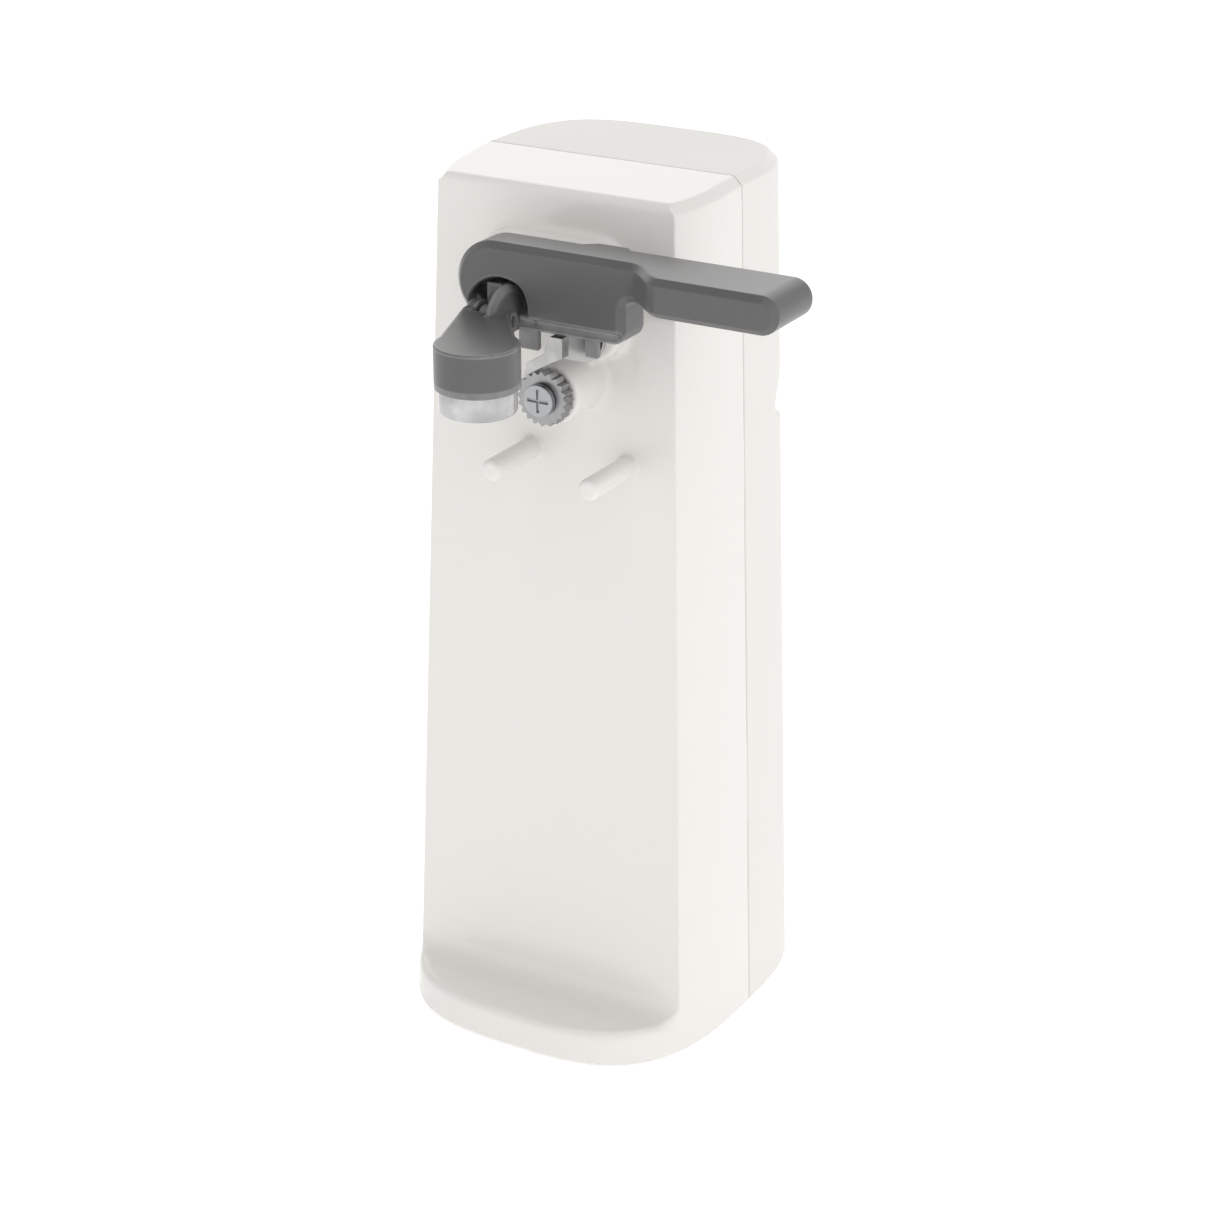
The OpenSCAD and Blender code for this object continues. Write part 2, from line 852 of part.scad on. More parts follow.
module magnet_core() {
    color("#404040") translate([magnet_x, magnet_y, magnet_z + 1]) difference() {
        cylinder(h = 6.4, r = magnet_d / 2 - 1.2);
        translate([0, 0, -1]) cylinder(h = 9, r = 1.6);
    }
}

module magnet_rivet() {
    color("silver") translate([magnet_x, magnet_y, magnet_z + 1])
        cylinder(h = 12, r = 1.58);
}

// Switch --------------------------------------------------------------------

module micro_switch() {
    color("#303030") difference() {
        translate([switch_x - 5.1, switch_y[0], lever_z - 9.9])
            cube([10.2, switch_y[1] - switch_y[0], 19.8]);
        for (z = switch_holes) disc_y(switch_x, z, 1.3, -20, 0);
        translate([switch_x + 1, -11.9, lever_z - 1.2]) cube([6, 2.2, 2.4]);
    }
    color("silver") for (z = [-8, -0.5, 7])
        translate([switch_x - 9.1, -11.2, lever_z + z]) cube([4, 0.8, 1]);
}

module switch_button() {
    tip = lever_x + cam_offset * cos(cam_angle) - cam_r - 0.03;
    color("firebrick") translate([tip - 5, -11.7, lever_z - 1]) cube([5, 1.8, 2]);
}

module switch_screws() {
    color("lightgray") for (z = switch_holes)
        pan_screw_y(switch_x, z, switch_y[1] + 1.4, 10.8, -1, 2.2, 1.25, 1.4);
}

// Assembly ------------------------------------------------------------------

front_shell();
rear_shell();
base_plate();
foot_ring();
base_screws();
case_screws();
cord_inlet();
terminal_block();
front_chassis_plate();
rear_chassis_plate();
chassis_pillars();
chassis_screws();
motor_laminations();
coil_bobbin();
coil_winding();
rear_motor_bracket();
bracket_screws();
motor_bushes();
rotor();
motor_shaft();
motor_pinion();
sharpening_wheel();
sharpening_wheel_nut();
knife_guide();
first_gear();
second_gear();
gear_axles();
drive_gear();
drive_shaft();
drive_bushes();
drive_wheel();
drive_wheel_screw();
drive_shaft_clip();
lever_body();
lever_spindle();
lever_bush();
spindle_screw();
switch_cam();
cutter_blade();
cutter_screws();
hinge_pin();
magnet_arm();
magnet_cup();
magnet_core();
magnet_rivet();
micro_switch();
switch_button();
switch_screws();
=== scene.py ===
"""Looks of an electric can opener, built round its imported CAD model. Metres, +Z up, front is -Y."""

import itertools
import json
import math

import bmesh
import bpy
import numpy as np
from mathutils import Matrix, Vector


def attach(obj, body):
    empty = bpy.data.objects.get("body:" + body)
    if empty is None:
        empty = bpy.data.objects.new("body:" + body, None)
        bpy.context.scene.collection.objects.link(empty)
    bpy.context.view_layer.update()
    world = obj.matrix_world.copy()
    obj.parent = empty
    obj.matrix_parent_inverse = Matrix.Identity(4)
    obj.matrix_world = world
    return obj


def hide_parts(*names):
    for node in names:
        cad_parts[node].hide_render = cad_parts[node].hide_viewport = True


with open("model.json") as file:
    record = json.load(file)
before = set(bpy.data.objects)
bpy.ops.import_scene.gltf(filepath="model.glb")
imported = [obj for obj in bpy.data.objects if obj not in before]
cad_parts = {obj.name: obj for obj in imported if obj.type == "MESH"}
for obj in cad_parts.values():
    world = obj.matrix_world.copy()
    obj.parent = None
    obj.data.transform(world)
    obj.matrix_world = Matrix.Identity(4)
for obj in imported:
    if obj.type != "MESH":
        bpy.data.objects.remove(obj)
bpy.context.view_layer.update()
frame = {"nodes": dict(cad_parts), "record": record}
nodes = frame["nodes"]
MM = 0.001

# ---------------------------------------------------------------------------
# Studio. A pale seamless floor in a white room that is brightest at the back, with
# two soft lights. The camera looks down on the right front corner.
# ---------------------------------------------------------------------------
scene = bpy.context.scene
scene.view_settings.view_transform = "Standard"
CAMERA_PLACE = (0.3893, -0.6697, 0.4557)
CAMERA_TURN = (math.radians(66.85), 0, math.radians(29.96))
CAMERA_LENS = 83.9
FLOOR_SIZE = 8


def add_node(tree, kind, inputs=None, **settings):
    """A new node with its settings and the values or links of its inputs."""
    made = tree.nodes.new(kind)
    for key, value in settings.items():
        setattr(made, key, value)
    for key, value in (inputs or {}).items():
        if isinstance(value, bpy.types.NodeSocket):
            tree.links.new(value, made.inputs[key])
        else:
            made.inputs[key].default_value = value
    return made


def new_material(name):
    """A material, its tree and its Principled shader."""
    material = bpy.data.materials.new(name)
    material.use_nodes = True
    return material, material.node_tree, material.node_tree.nodes["Principled BSDF"]


def wide_light(name, towards, strength, spread):
    """Far soft light that comes from the direction towards."""
    data = bpy.data.lights.new(name, "SUN")
    data.energy = strength
    data.angle = math.radians(spread)
    lamp = bpy.data.objects.new(name, data)
    lamp.rotation_mode = "QUATERNION"
    lamp.rotation_quaternion = (-Vector(towards)).to_track_quat("-Z", "Y")
    scene.collection.objects.link(lamp)


camera = bpy.data.objects.new("camera", bpy.data.cameras.new("camera"))
camera.location = CAMERA_PLACE
camera.rotation_euler = CAMERA_TURN
camera.data.lens = CAMERA_LENS
camera.data.clip_start = 0.01
scene.collection.objects.link(camera)
scene.camera = camera

world = bpy.data.worlds.new("studio")
world.use_nodes = True
sky = world.node_tree
direction = sky.nodes.new("ShaderNodeTexCoord").outputs["Generated"]
parts = add_node(sky, "ShaderNodeSeparateXYZ", {"Vector": direction})
glow = add_node(
    sky,
    "ShaderNodeVectorMath",
    {0: direction, 1: (-0.46, 0.79, 0.4)},
    operation="DOT_PRODUCT",
)


def ramp(source, low, high, start, end):
    """Smooth change from start to end as the source goes from low to high."""
    made = add_node(
        sky,
        "ShaderNodeMapRange",
        {"Value": source, "From Min": low, "From Max": high, "To Min": start, "To Max": end},
        interpolation_type="SMOOTHSTEP",
    )
    return made.outputs[0]


across = ramp(parts.outputs["X"], -0.7, 0.7, 0.74, 1.0)
dimmer = ramp(parts.outputs["Z"], 0.3, 0.95, 1.0, 0.5)
behind = ramp(glow.outputs["Value"], 0.72, 0.93, 0.0, 1.0)
brightness = add_node(sky, "ShaderNodeMath", {0: across, 1: dimmer, 2: behind}, operation="MULTIPLY_ADD")
sky.links.new(brightness.outputs[0], sky.nodes["Background"].inputs["Strength"])
sky.nodes["Background"].inputs["Color"].default_value = (1, 0.995, 0.99, 1)
scene.world = world
wide_light("top_light", (0.25, -0.3, 0.9), 0.42, 60)
wide_light("side_light", (0.95, -0.25, 0.35), 0.28, 50)
wide_light("front_light", (-0.15, -0.9, 0.4), 0.12, 70)

floor_mesh = bpy.data.meshes.new("floor")
half = FLOOR_SIZE / 2
floor_mesh.from_pydata(
    [(-half, -half, 0), (half, -half, 0), (half, half, 0), (-half, half, 0)], [], [(0, 1, 2, 3)]
)
floor = bpy.data.objects.new("floor", floor_mesh)
scene.collection.objects.link(floor)
paper, tree, shader = new_material("seamless_paper")
shader.inputs["Base Color"].default_value = (0.9, 0.9, 0.9, 1)
shader.inputs["Roughness"].default_value = 0.9
shader.inputs["Specular IOR Level"].default_value = 0
shader.inputs["Emission Color"].default_value = (1, 1, 1, 1)
shader.inputs["Emission Strength"].default_value = 0.38
floor_mesh.materials.append(paper)

# ---------------------------------------------------------------------------
# Front casing. Glossy white ABS, moulded in one piece: the foot's front, the flat
# panel, the platform behind the lever, the neck of the drive and two can pegs.
# ---------------------------------------------------------------------------
BODY_H = 259.3
WALL = 2.4
SEAM_Y = 6.8
SEAM_GAP = 0.15
TOP_DROP = 0.066
FOOT_H = 11.4
BOTTOM = 1.0
DRIVE = (9.2, 205.0)
LEVER = (-3.5, 236.8)
PEG_Z = 182.0
PEG_REACH = 15.6


def steps(*stretches):
    """Grid lines: each stretch is (start, end, spacing)."""
    lines = [np.arange(a, b - 0.001, s) for a, b, s in stretches]
    return np.concatenate(lines + [[stretches[-1][1]]])


def round_and(a, b, r):
    """Both shapes at once, with their common edge rounded."""
    corner = np.hypot(np.maximum(r + a, 0), np.maximum(r + b, 0))
    return np.minimum(-r, np.maximum(a, b)) + corner


def round_or(a, b, r):
    """Either shape, with a hollow fillet where they meet."""
    corner = np.hypot(np.maximum(r - a, 0), np.maximum(r - b, 0))
    return np.maximum(r, np.minimum(a, b)) - corner


def chamfer_and(a, b, r, soft=0.35):
    """Both shapes at once, with their common edge cut off flat."""
    cut = (a + b + r) * math.sqrt(0.5)
    return round_and(round_and(a, cut, soft), round_and(b, cut, soft), soft)


def round_box(x, y, half_w, half_h, r):
    """Rounded rectangle centred on zero."""
    dx, dy = np.abs(x) - half_w + r, np.abs(y) - half_h + r
    return np.hypot(np.maximum(dx, 0), np.maximum(dy, 0)) + np.minimum(np.maximum(dx, dy), 0) - r


def panel_y(z):
    return -30.7 + 0.028 * z


def half_width(z):
    return 50.14 - 0.0312 * z


def plan(x, y, z):
    """Distance from the body's tapered plan outline."""
    front = y < 3.48
    p = np.where(front, 3.0, 3.5)
    w = half_width(z)
    d = np.where(front, 56.2 - 0.061 * z, 52.8 - 0.0216 * z)
    u = np.maximum(np.abs(x) / w, 1e-4)
    v = np.maximum(np.abs(y - 3.48) / d, 1e-4)
    g = (u**p + v**p) ** (1 / p)
    slope = np.hypot(u ** (p - 1) / w, v ** (p - 1) / d) / g ** (p - 1)
    return (g - 1) / slope


def casing(x, y, z):
    """Whole body without what stands on the panel."""
    side = plan(x, y, z)
    top = np.maximum(z - BODY_H, z - BODY_H + TOP_DROP * (SEAM_Y - y))
    space = round_or(panel_y(z) - y, z - FOOT_H - 0.006 * (y + 52), 6)
    edge = 0.35 + 2.2 * np.clip((15 - z) / 4, 0, 1)
    hull = np.maximum(chamfer_and(side, top, 2.4), round_and(top, space, 2.2))
    hull = np.maximum(hull, round_and(side, space, edge))
    return np.maximum(hull, round_and(side, BOTTOM - z, 0.8))


def base_opening(x, y, z):
    """What is cut out of the casing's underside, where the base plate sits."""
    return np.maximum(plan(x, y, z) + 2.6, z - 8)


def front_casing(x, y, z):
    core = casing(x, y, z)
    drive = np.hypot(x - DRIVE[0], z - DRIVE[1])
    pivot = np.hypot(x - LEVER[0], z - LEVER[1])
    platform = round_and(round_box(x - 1.85, z - 228.75, 22.85, 16.75, 10), -30.5 - y, 1.6)
    outer = round_or(core, platform, 1.8)
    outer = round_or(outer, round_and(drive - 8.6, -40.9 - y, 1.2), 2)
    for side in (-1, 1):
        peg = np.hypot(x - DRIVE[0] - side * PEG_REACH, z - PEG_Z)
        outer = round_or(outer, round_and(peg - 3.15, -48.5 - y, 1.4), 1)
    shell = np.maximum(outer, -(core + WALL))
    shell = np.maximum(shell, -base_opening(x, y, z))
    shell = np.maximum(shell, y - SEAM_Y + SEAM_GAP)
    shell = np.maximum(shell, -np.maximum(drive - 6, y))
    return np.maximum(shell, -np.maximum(pivot - 6, y))


def add_piece(name, mesh):
    """Object that stands in the scene with the given mesh."""
    piece = bpy.data.objects.new(name, mesh)
    scene.collection.objects.link(piece)
    return piece


def skin(name, field, lines, warp=lambda x, y, z: (x, y, z)):
    """Mesh of the surface where field is zero. The grid lines may be warped to follow the shape.

    Each cell that the surface crosses gets one point, which is then moved exactly onto the
    surface. The attributes edge and cavity say how sharply the surface bends out or in there.
    """
    shape = tuple(len(l) for l in lines)
    grid = np.meshgrid(*lines, indexing="ij")
    values = field(*warp(*grid))
    inside = values < 0
    cell = tuple(n - 1 for n in shape)
    count = np.zeros(cell, int)
    for c in itertools.product((0, 1), repeat=3):
        count += inside[tuple(slice(o, o + n) for o, n in zip(c, cell))]
    mixed = (count > 0) & (count < 8)
    number = np.full(cell, -1)
    number[mixed] = np.arange(mixed.sum())
    cells = np.argwhere(mixed)
    total, hits = np.zeros((len(cells), 3)), np.zeros(len(cells))
    for axis in range(3):
        others = [k for k in range(3) if k != axis]
        for pair in itertools.product((0, 1), repeat=2):
            start = cells.copy()
            start[:, others] += pair
            end = start.copy()
            end[:, axis] += 1
            a, b = values[tuple(start.T)], values[tuple(end.T)]
            crossed = (a < 0) != (b < 0)
            t = np.where(crossed, a / np.where(crossed, a - b, 1), 0)
            point = np.stack([lines[k][start[:, k]] for k in range(3)], 1)
            point[:, axis] += t * (lines[axis][end[:, axis]] - lines[axis][start[:, axis]])
            total += np.where(crossed[:, None], point, 0)
            hits += crossed
    points = np.stack(warp(*(total / hits[:, None]).T), 1)

    def slope(p):
        h = 0.02
        rise = [field(*(p + h * e).T) - field(*(p - h * e).T) for e in np.eye(3)]
        return np.stack(rise, 1) / (2 * h)

    for _ in range(6):
        g = slope(points)
        step = field(*points.T) / np.maximum((g**2).sum(1), 0.05)
        points -= g * np.clip(step, -0.5, 0.5)[:, None]
    normal = slope(points)
    normal /= np.maximum(np.linalg.norm(normal, axis=1), 1e-6)[:, None]
    quads = []
    for axis in range(3):
        b, c = (axis + 1) % 3, (axis + 2) % 3
        low = [slice(1, n - 1) for n in shape]
        high = list(low)
        low[axis], high[axis] = slice(0, shape[axis] - 1), slice(1, shape[axis])
        first, second = inside[tuple(low)], inside[tuple(high)]
        place = np.argwhere(first != second)
        outward = first[tuple(place.T)]
        offset = np.array([0 if k == axis else 1 for k in range(3)])
        place = place + offset
        step_b, step_c = np.eye(3, dtype=int)[b], np.eye(3, dtype=int)[c]
        ring = [place - step_b - step_c, place - step_c, place, place - step_b]
        quad = np.stack([number[tuple(r.T)] for r in ring], 1)
        quad[~outward] = quad[~outward][:, ::-1]
        quads.append(quad)
    quads = np.concatenate(quads)
    mesh = bpy.data.meshes.new(name)
    mesh.from_pydata((points * MM).tolist(), [], quads.tolist())
    mesh.shade_smooth()
    reach = 1.2
    bend_out = field(*(points - reach * normal).T) + reach
    bend_in = reach - field(*(points + reach * normal).T)
    for label, bend in (("edge", bend_out), ("cavity", bend_in)):
        layer = mesh.attributes.new(label, "FLOAT", "POINT")
        layer.data.foreach_set("value", np.clip(bend / (0.4 * reach), 0, 1).astype(np.float32))
    mesh.normals_split_custom_set_from_vertices(normal.tolist())
    return add_piece(name, mesh)


def panel_edge(z):
    """Half of the panel's width at height z."""
    reach = (3.48 - panel_y(z)) / (56.2 - 0.061 * z)
    return half_width(z) * (1 - reach**3) ** (1 / 3)


def follow_panel(x, y, z):
    """Grid lines that run along the panel, its long edges and the sloping top."""
    lean = (SEAM_Y - panel_y(z)) / (SEAM_Y - panel_y(0))
    y = SEAM_Y + (y - SEAM_Y) * lean
    near_top = np.clip((z - 246) / 8, 0, 1)
    return x * panel_edge(z) / panel_edge(0), y, z - TOP_DROP * np.maximum(SEAM_Y - y, 0) * near_top


front = skin(
    "front_casing",
    front_casing,
    (
        steps(
            (-53.2, -46.8, 0.6), (-46.8, -44.8, 0.25), (-44.8, -42, 0.6), (-42, 42, 1.2),
            (42, 44.8, 0.6), (44.8, 46.8, 0.25), (46.8, 53.2, 0.6)
        ),
        steps(
            (-60, -34, 1.0), (-34, -31.4, 0.5), (-31.4, -29.4, 0.25), (-29.4, -25, 0.6),
            (-25, 4.5, 1.7), (4.5, 7.3, 0.4)
        ),
        steps((-0.4, 22, 0.7), (22, 176, 3.2), (176, 188, 0.8), (188, 250, 1.2), (250, 262, 0.55)),
    ),
    follow_panel,
)


def mottling_group():
    """Slow drift of colour and gloss with a fine grain, for anything moulded or plated."""
    group = bpy.data.node_groups.new("mottling", "ShaderNodeTree")
    io = group.interface
    io.new_socket("Colour", in_out="INPUT", socket_type="NodeSocketColor")
    for label, value in (
        ("Drift", 0.02),
        ("Drift Size", 30.0),
        ("Grain", 0.01),
        ("Grain Size", 2500.0),
        ("Roughness", 0.3),
        ("Roughness Drift", 0.05),
    ):
        io.new_socket(label, in_out="INPUT", socket_type="NodeSocketFloat").default_value = value
    io.new_socket("Colour", in_out="OUTPUT", socket_type="NodeSocketColor")
    io.new_socket("Roughness", in_out="OUTPUT", socket_type="NodeSocketFloat")
    io.new_socket("Height", in_out="OUTPUT", socket_type="NodeSocketFloat")
    given = group.nodes.new("NodeGroupInput").outputs
    place = group.nodes.new("ShaderNodeTexCoord").outputs["Object"]
    drift = add_node(
        group, "ShaderNodeTexNoise", {"Vector": place, "Scale": given["Drift Size"], "Detail": 4}
    )
    grain = add_node(
        group, "ShaderNodeTexNoise", {"Vector": place, "Scale": given["Grain Size"], "Detail": 2}
    )

    def swing(mask, amount):
        """Mask from 0 to 1 turned into a factor round 1."""
        centred = add_node(group, "ShaderNodeMath", {0: mask, 1: 0.5}, operation="SUBTRACT")
        scaled = add_node(
            group, "ShaderNodeMath", {0: centred.outputs[0], 1: amount, 2: 1.0}, operation="MULTIPLY_ADD"
        )
        return scaled.outputs[0]

    both = add_node(
        group,
        "ShaderNodeMath",
        {0: swing(drift.outputs["Fac"], given["Drift"]), 1: swing(grain.outputs["Fac"], given["Grain"])},
        operation="MULTIPLY",
    )
    tinted = add_node(
        group,
        "ShaderNodeVectorMath",
        {0: given["Colour"], "Scale": both.outputs[0]},
        operation="SCALE",
    )
    rough = add_node(
        group,
        "ShaderNodeMath",
        {0: swing(drift.outputs["Fac"], given["Roughness Drift"]), 1: given["Roughness"]},
        operation="MULTIPLY",
    )
    out = group.nodes.new("NodeGroupOutput")
    group.links.new(tinted.outputs[0], out.inputs["Colour"])
    group.links.new(rough.outputs[0], out.inputs["Roughness"])
    group.links.new(grain.outputs["Fac"], out.inputs["Height"])
    return group


def painted_light_group():
    """Painted highlight on sharp edges and painted shade in hollow corners, from the attributes edge and
    cavity.
    """
    group = bpy.data.node_groups.new("painted_edge_highlight_and_hollow_shade", "ShaderNodeTree")
    io = group.interface
    for label in ("Colour", "Worn", "Dust"):
        io.new_socket(label, in_out="INPUT", socket_type="NodeSocketColor")
    io.new_socket("Wear", in_out="INPUT", socket_type="NodeSocketFloat").default_value = 0.5
    io.new_socket("Dirt", in_out="INPUT", socket_type="NodeSocketFloat").default_value = 0.3
    io.new_socket("Colour", in_out="OUTPUT", socket_type="NodeSocketColor")
    io.new_socket("Mask", in_out="OUTPUT", socket_type="NodeSocketFloat")
    given = group.nodes.new("NodeGroupInput").outputs
    place = group.nodes.new("ShaderNodeTexCoord").outputs["Object"]
    patchy = add_node(group, "ShaderNodeTexNoise", {"Vector": place, "Scale": 160.0, "Detail": 5})
    edge = add_node(group, "ShaderNodeAttribute", attribute_name="edge")
    hollow = add_node(group, "ShaderNodeAttribute", attribute_name="cavity")

    def mask(source, amount):
        patched = add_node(
            group, "ShaderNodeMath", {0: source, 1: patchy.outputs["Fac"]}, operation="MULTIPLY"
        )
        scaled = add_node(
            group, "ShaderNodeMath", {0: patched.outputs[0], 1: amount}, operation="MULTIPLY", use_clamp=True
        )
        return scaled.outputs[0]

    sharp = add_node(group, "ShaderNodeMath", {0: edge.outputs["Fac"], 1: 3.0}, operation="POWER")
    highlight_mask = mask(sharp.outputs[0], given["Wear"])
    edge_highlight = add_node(
        group,
        "ShaderNodeMix",
        {0: highlight_mask, 6: given["Colour"], 7: given["Worn"]},
        data_type="RGBA",
    )
    hollow_shaded = add_node(
        group,
        "ShaderNodeMix",
        {0: mask(hollow.outputs["Fac"], given["Dirt"]), 6: edge_highlight.outputs[2], 7: given["Dust"]},
        data_type="RGBA",
    )
    out = group.nodes.new("NodeGroupOutput")
    group.links.new(hollow_shaded.outputs[2], out.inputs["Colour"])
    group.links.new(highlight_mask, out.inputs["Mask"])
    return group


MOTTLING = mottling_group()
PAINTED_LIGHT = painted_light_group()


def finish(
    name, colour, rough, drift, grain, bump, gloss_drift=0.25, metallic=0, bands=None, edge_highlight=None, highlight_strength=0.0,
    coat=0.0
):
    """Material with drifting colour and gloss, a fine grain and, if asked, a painted highlight on edges with
    painted shade in hollows, or lines.

    drift and grain are (amount, size) of the slow and the fine variation, and bump is
    (strength, depth in mm). bands is (axis, pitch in mm, depth in mm) of turned or stacked lines.
    """
    material, tree, shader = new_material(name)
    drifts = add_node(
        tree,
        "ShaderNodeGroup",
        {
            "Colour": (*colour, 1),
            "Drift": drift[0],
            "Drift Size": drift[1],
            "Grain": grain[0],
            "Grain Size": grain[1],
            "Roughness": rough,
            "Roughness Drift": gloss_drift,
        },
        node_tree=MOTTLING,
    )
    if edge_highlight:
        # Paler edges are a painted highlight, and a darker copy of the colour in hollows is painted shade.
        edges = add_node(
            tree,
            "ShaderNodeGroup",
            {
                "Colour": (*colour, 1),
                "Worn": (*edge_highlight, 1),
                "Dust": (*(c * 0.8 for c in colour), 1),
                "Wear": highlight_strength,
                "Dirt": 0.25,
            },
            node_tree=PAINTED_LIGHT,
        )
        tree.links.new(edges.outputs["Colour"], drifts.inputs["Colour"])
    relief = add_node(
        tree,
        "ShaderNodeBump",
        {"Height": drifts.outputs["Height"], "Strength": bump[0], "Distance": bump[1] * MM},
    )
    if bands:
        place = tree.nodes.new("ShaderNodeTexCoord").outputs["Object"]
        lines = add_node(
            tree,
            "ShaderNodeTexWave",
            {"Vector": place, "Scale": 0.314 / (bands[1] * MM), "Distortion": 0.4, "Detail": 1.0},
            bands_direction=bands[0],
        )
        relief = add_node(
            tree,
            "ShaderNodeBump",
            {
                "Height": lines.outputs["Fac"],
                "Strength": 0.8,
                "Distance": bands[2] * MM,
                "Normal": relief.outputs["Normal"],
            },
        )
    tree.links.new(drifts.outputs["Colour"], shader.inputs["Base Color"])
    tree.links.new(drifts.outputs["Roughness"], shader.inputs["Roughness"])
    tree.links.new(relief.outputs["Normal"], shader.inputs["Normal"])
    shader.inputs["Metallic"].default_value = metallic
    shader.inputs["Coat Weight"].default_value = coat
    return material


def metal(name, colour, rough, drift, grain, bump, bands=None, gloss_drift=0.4):
    """Plated, ground or sheet metal."""
    return finish(name, colour, rough, drift, grain, bump, gloss_drift, 1, bands)


def finish_piece(piece, material, body, slot, *replaced):
    """Gives a piece its material and its body, and hides the CAD nodes it stands for. slot is not used."""
    piece.data.materials.clear()
    piece.data.materials.append(material)
    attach(piece, body)
    if replaced:
        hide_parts(*replaced)


GLOSS_COLOUR = (0.775, 0.755, 0.73)
# Its edge colour is its own colour, so it gets no painted highlight, only painted shade in hollows.
GLOSS_WHITE = finish(
    "gloss_white_abs", GLOSS_COLOUR, 0.1, (0.012, 18), (0.004, 1200), (0.02, 0.05), edge_highlight=GLOSS_COLOUR
)
finish_piece(front, GLOSS_WHITE, "housing", "gloss_white_plastic", "front_shell")

# ---------------------------------------------------------------------------
# Rear casing. The same ABS with a fine spark-eroded grain. A knife groove runs
# across it, and it is held by four screws in deep round recesses.
# ---------------------------------------------------------------------------
GROOVE = (33.8, 186.4)
GROOVE_R = 3.6
GROOVE_LOW = math.radians(-15)
GROOVE_HIGH = math.radians(43)
CASE_POINTS = ((-27, 27), (27, 27), (-32.5, 241), (32.5, 241))
CORD_HOLE = (0, 20, 6)


def groove(y, z):
    """Round bottom that opens outwards between two flat walls."""
    dy, dz = y - GROOVE[0], z - GROOVE[1]
    low = dy * math.sin(GROOVE_LOW) - dz * math.cos(GROOVE_LOW) - GROOVE_R
    high = -dy * math.sin(GROOVE_HIGH) + dz * math.cos(GROOVE_HIGH) - GROOVE_R
    round_end = np.hypot(dy, dz) - GROOVE_R
    wedge = np.maximum(np.maximum(low, high), -dy * 0.97 - dz * 0.24)
    return np.minimum(round_end, wedge)


def rear_casing(x, y, z):
    outer = round_and(casing(x, y, z), -groove(y, z), 0.9)
    shell = np.maximum(outer, -(outer + WALL))
    shell = np.maximum(shell, -base_opening(x, y, z))
    for px, pz in CASE_POINTS:
        post = np.hypot(x - px, z - pz)
        shell = np.minimum(shell, np.maximum(np.maximum(post - 6, 18.8 - y), outer))
        shell = np.maximum(shell, -np.maximum(post - 4, 21.8 - y))
        shell = np.maximum(shell, -(post - 1.7))
    cord = np.hypot(x - CORD_HOLE[0], z - CORD_HOLE[1])
    shell = np.maximum(shell, -np.maximum(cord - CORD_HOLE[2], 30 - y))
    window = np.maximum(np.abs(x) - 13, np.maximum(np.abs(y - 39.5) - 7.3, np.abs(z - 179.4) - 7))
    shell = np.maximum(shell, -window)
    return np.maximum(shell, SEAM_Y + SEAM_GAP - y)


def follow_sides(x, y, z):
    """Grid lines that lean in with the body's sides and rear."""
    lean = (52.8 - 0.0216 * z) / 52.8
    return x * half_width(z) / half_width(0), SEAM_Y + (y - SEAM_Y) * lean, z


rear = skin(
    "rear_casing",
    rear_casing,
    (
        steps(
            (-51.5, -44, 0.8), (-44, -37, 1.3), (-37, -22.5, 0.7), (-22.5, 22.5, 1.8), (22.5, 37, 0.7),
            (37, 44, 1.3), (44, 51.6, 0.8)
        ),
        steps((6.2, 8.2, 0.4), (8.2, 48, 1.5), (48, 58, 0.8)),
        steps(
            (-0.4, 4, 0.7), (4, 12, 1.6), (12, 33, 0.7), (33, 168, 3.6), (168, 209, 0.85),
            (209, 235, 3), (235, 247, 0.7), (247, 250, 1.2), (250, 261, 0.6)
        ),
    ),
    follow_sides,
)
GRAINED_COLOUR = (0.755, 0.735, 0.71)
# Its edge colour is its own colour, so it gets no painted highlight, only painted shade in hollows.
GRAINED_WHITE = finish(
    "grained_white_abs", GRAINED_COLOUR, 0.48, (0.015, 22), (0.03, 2600), (0.25, 0.06), edge_highlight=GRAINED_COLOUR
)
finish_piece(rear, GRAINED_WHITE, "housing", "grained_white_plastic", "rear_shell")

# ---------------------------------------------------------------------------
# Lever. Dark grey glass-filled nylon, moulded hollow behind the head. The front
# edge has a flat bevel all round. The handle steps forward of the head.
# ---------------------------------------------------------------------------
LEVER_R = 11.6
HEAD_FRONT = -50.5
HANDLE_FRONT = -59.6
HANDLE_H = 10.6
HANDLE_END = 86.6
HEAD_RIGHT = 37.0
HEAD_BOTTOM = 225.2
HINGE = (-50.5, 227.4)
BEVEL = 1.6


def lever_front_y(x):
    bend = np.clip((x - 38) / 14, 0, 1)
    return HEAD_FRONT + (HANDLE_FRONT - HEAD_FRONT) * (1 - np.cos(math.pi * bend)) / 2


def lever_back_y(x):
    """The back steps forward past the platform and again at the handle's root."""
    return np.interp(x, [18.5, 22.5, 31, 33], [-39.6, -36.6, -36.6, -38.6])


def lever_outline(x, z):
    """Front view: half-round left end, long handle, lower right corner and the notch."""
    top = LEVER[1] + LEVER_R
    left = np.hypot(x - LEVER[0], z - LEVER[1]) - LEVER_R
    half_h = (top - HEAD_BOTTOM) / 2
    middle = (LEVER[0] + HEAD_RIGHT) / 2
    body = round_box(x - middle + 20, z - top + half_h, HEAD_RIGHT - middle + 20, half_h, 3.8)
    body = np.maximum(body, LEVER[0] - x)
    head = np.minimum(left, body)
    r = HANDLE_H / 2
    along = np.clip(x, 20, HANDLE_END - r)
    handle = np.hypot(x - along, z - top + r) - r
    handle = np.maximum(handle, 20 - x)
    return np.maximum(round_or(head, handle, 2.2), z - top)


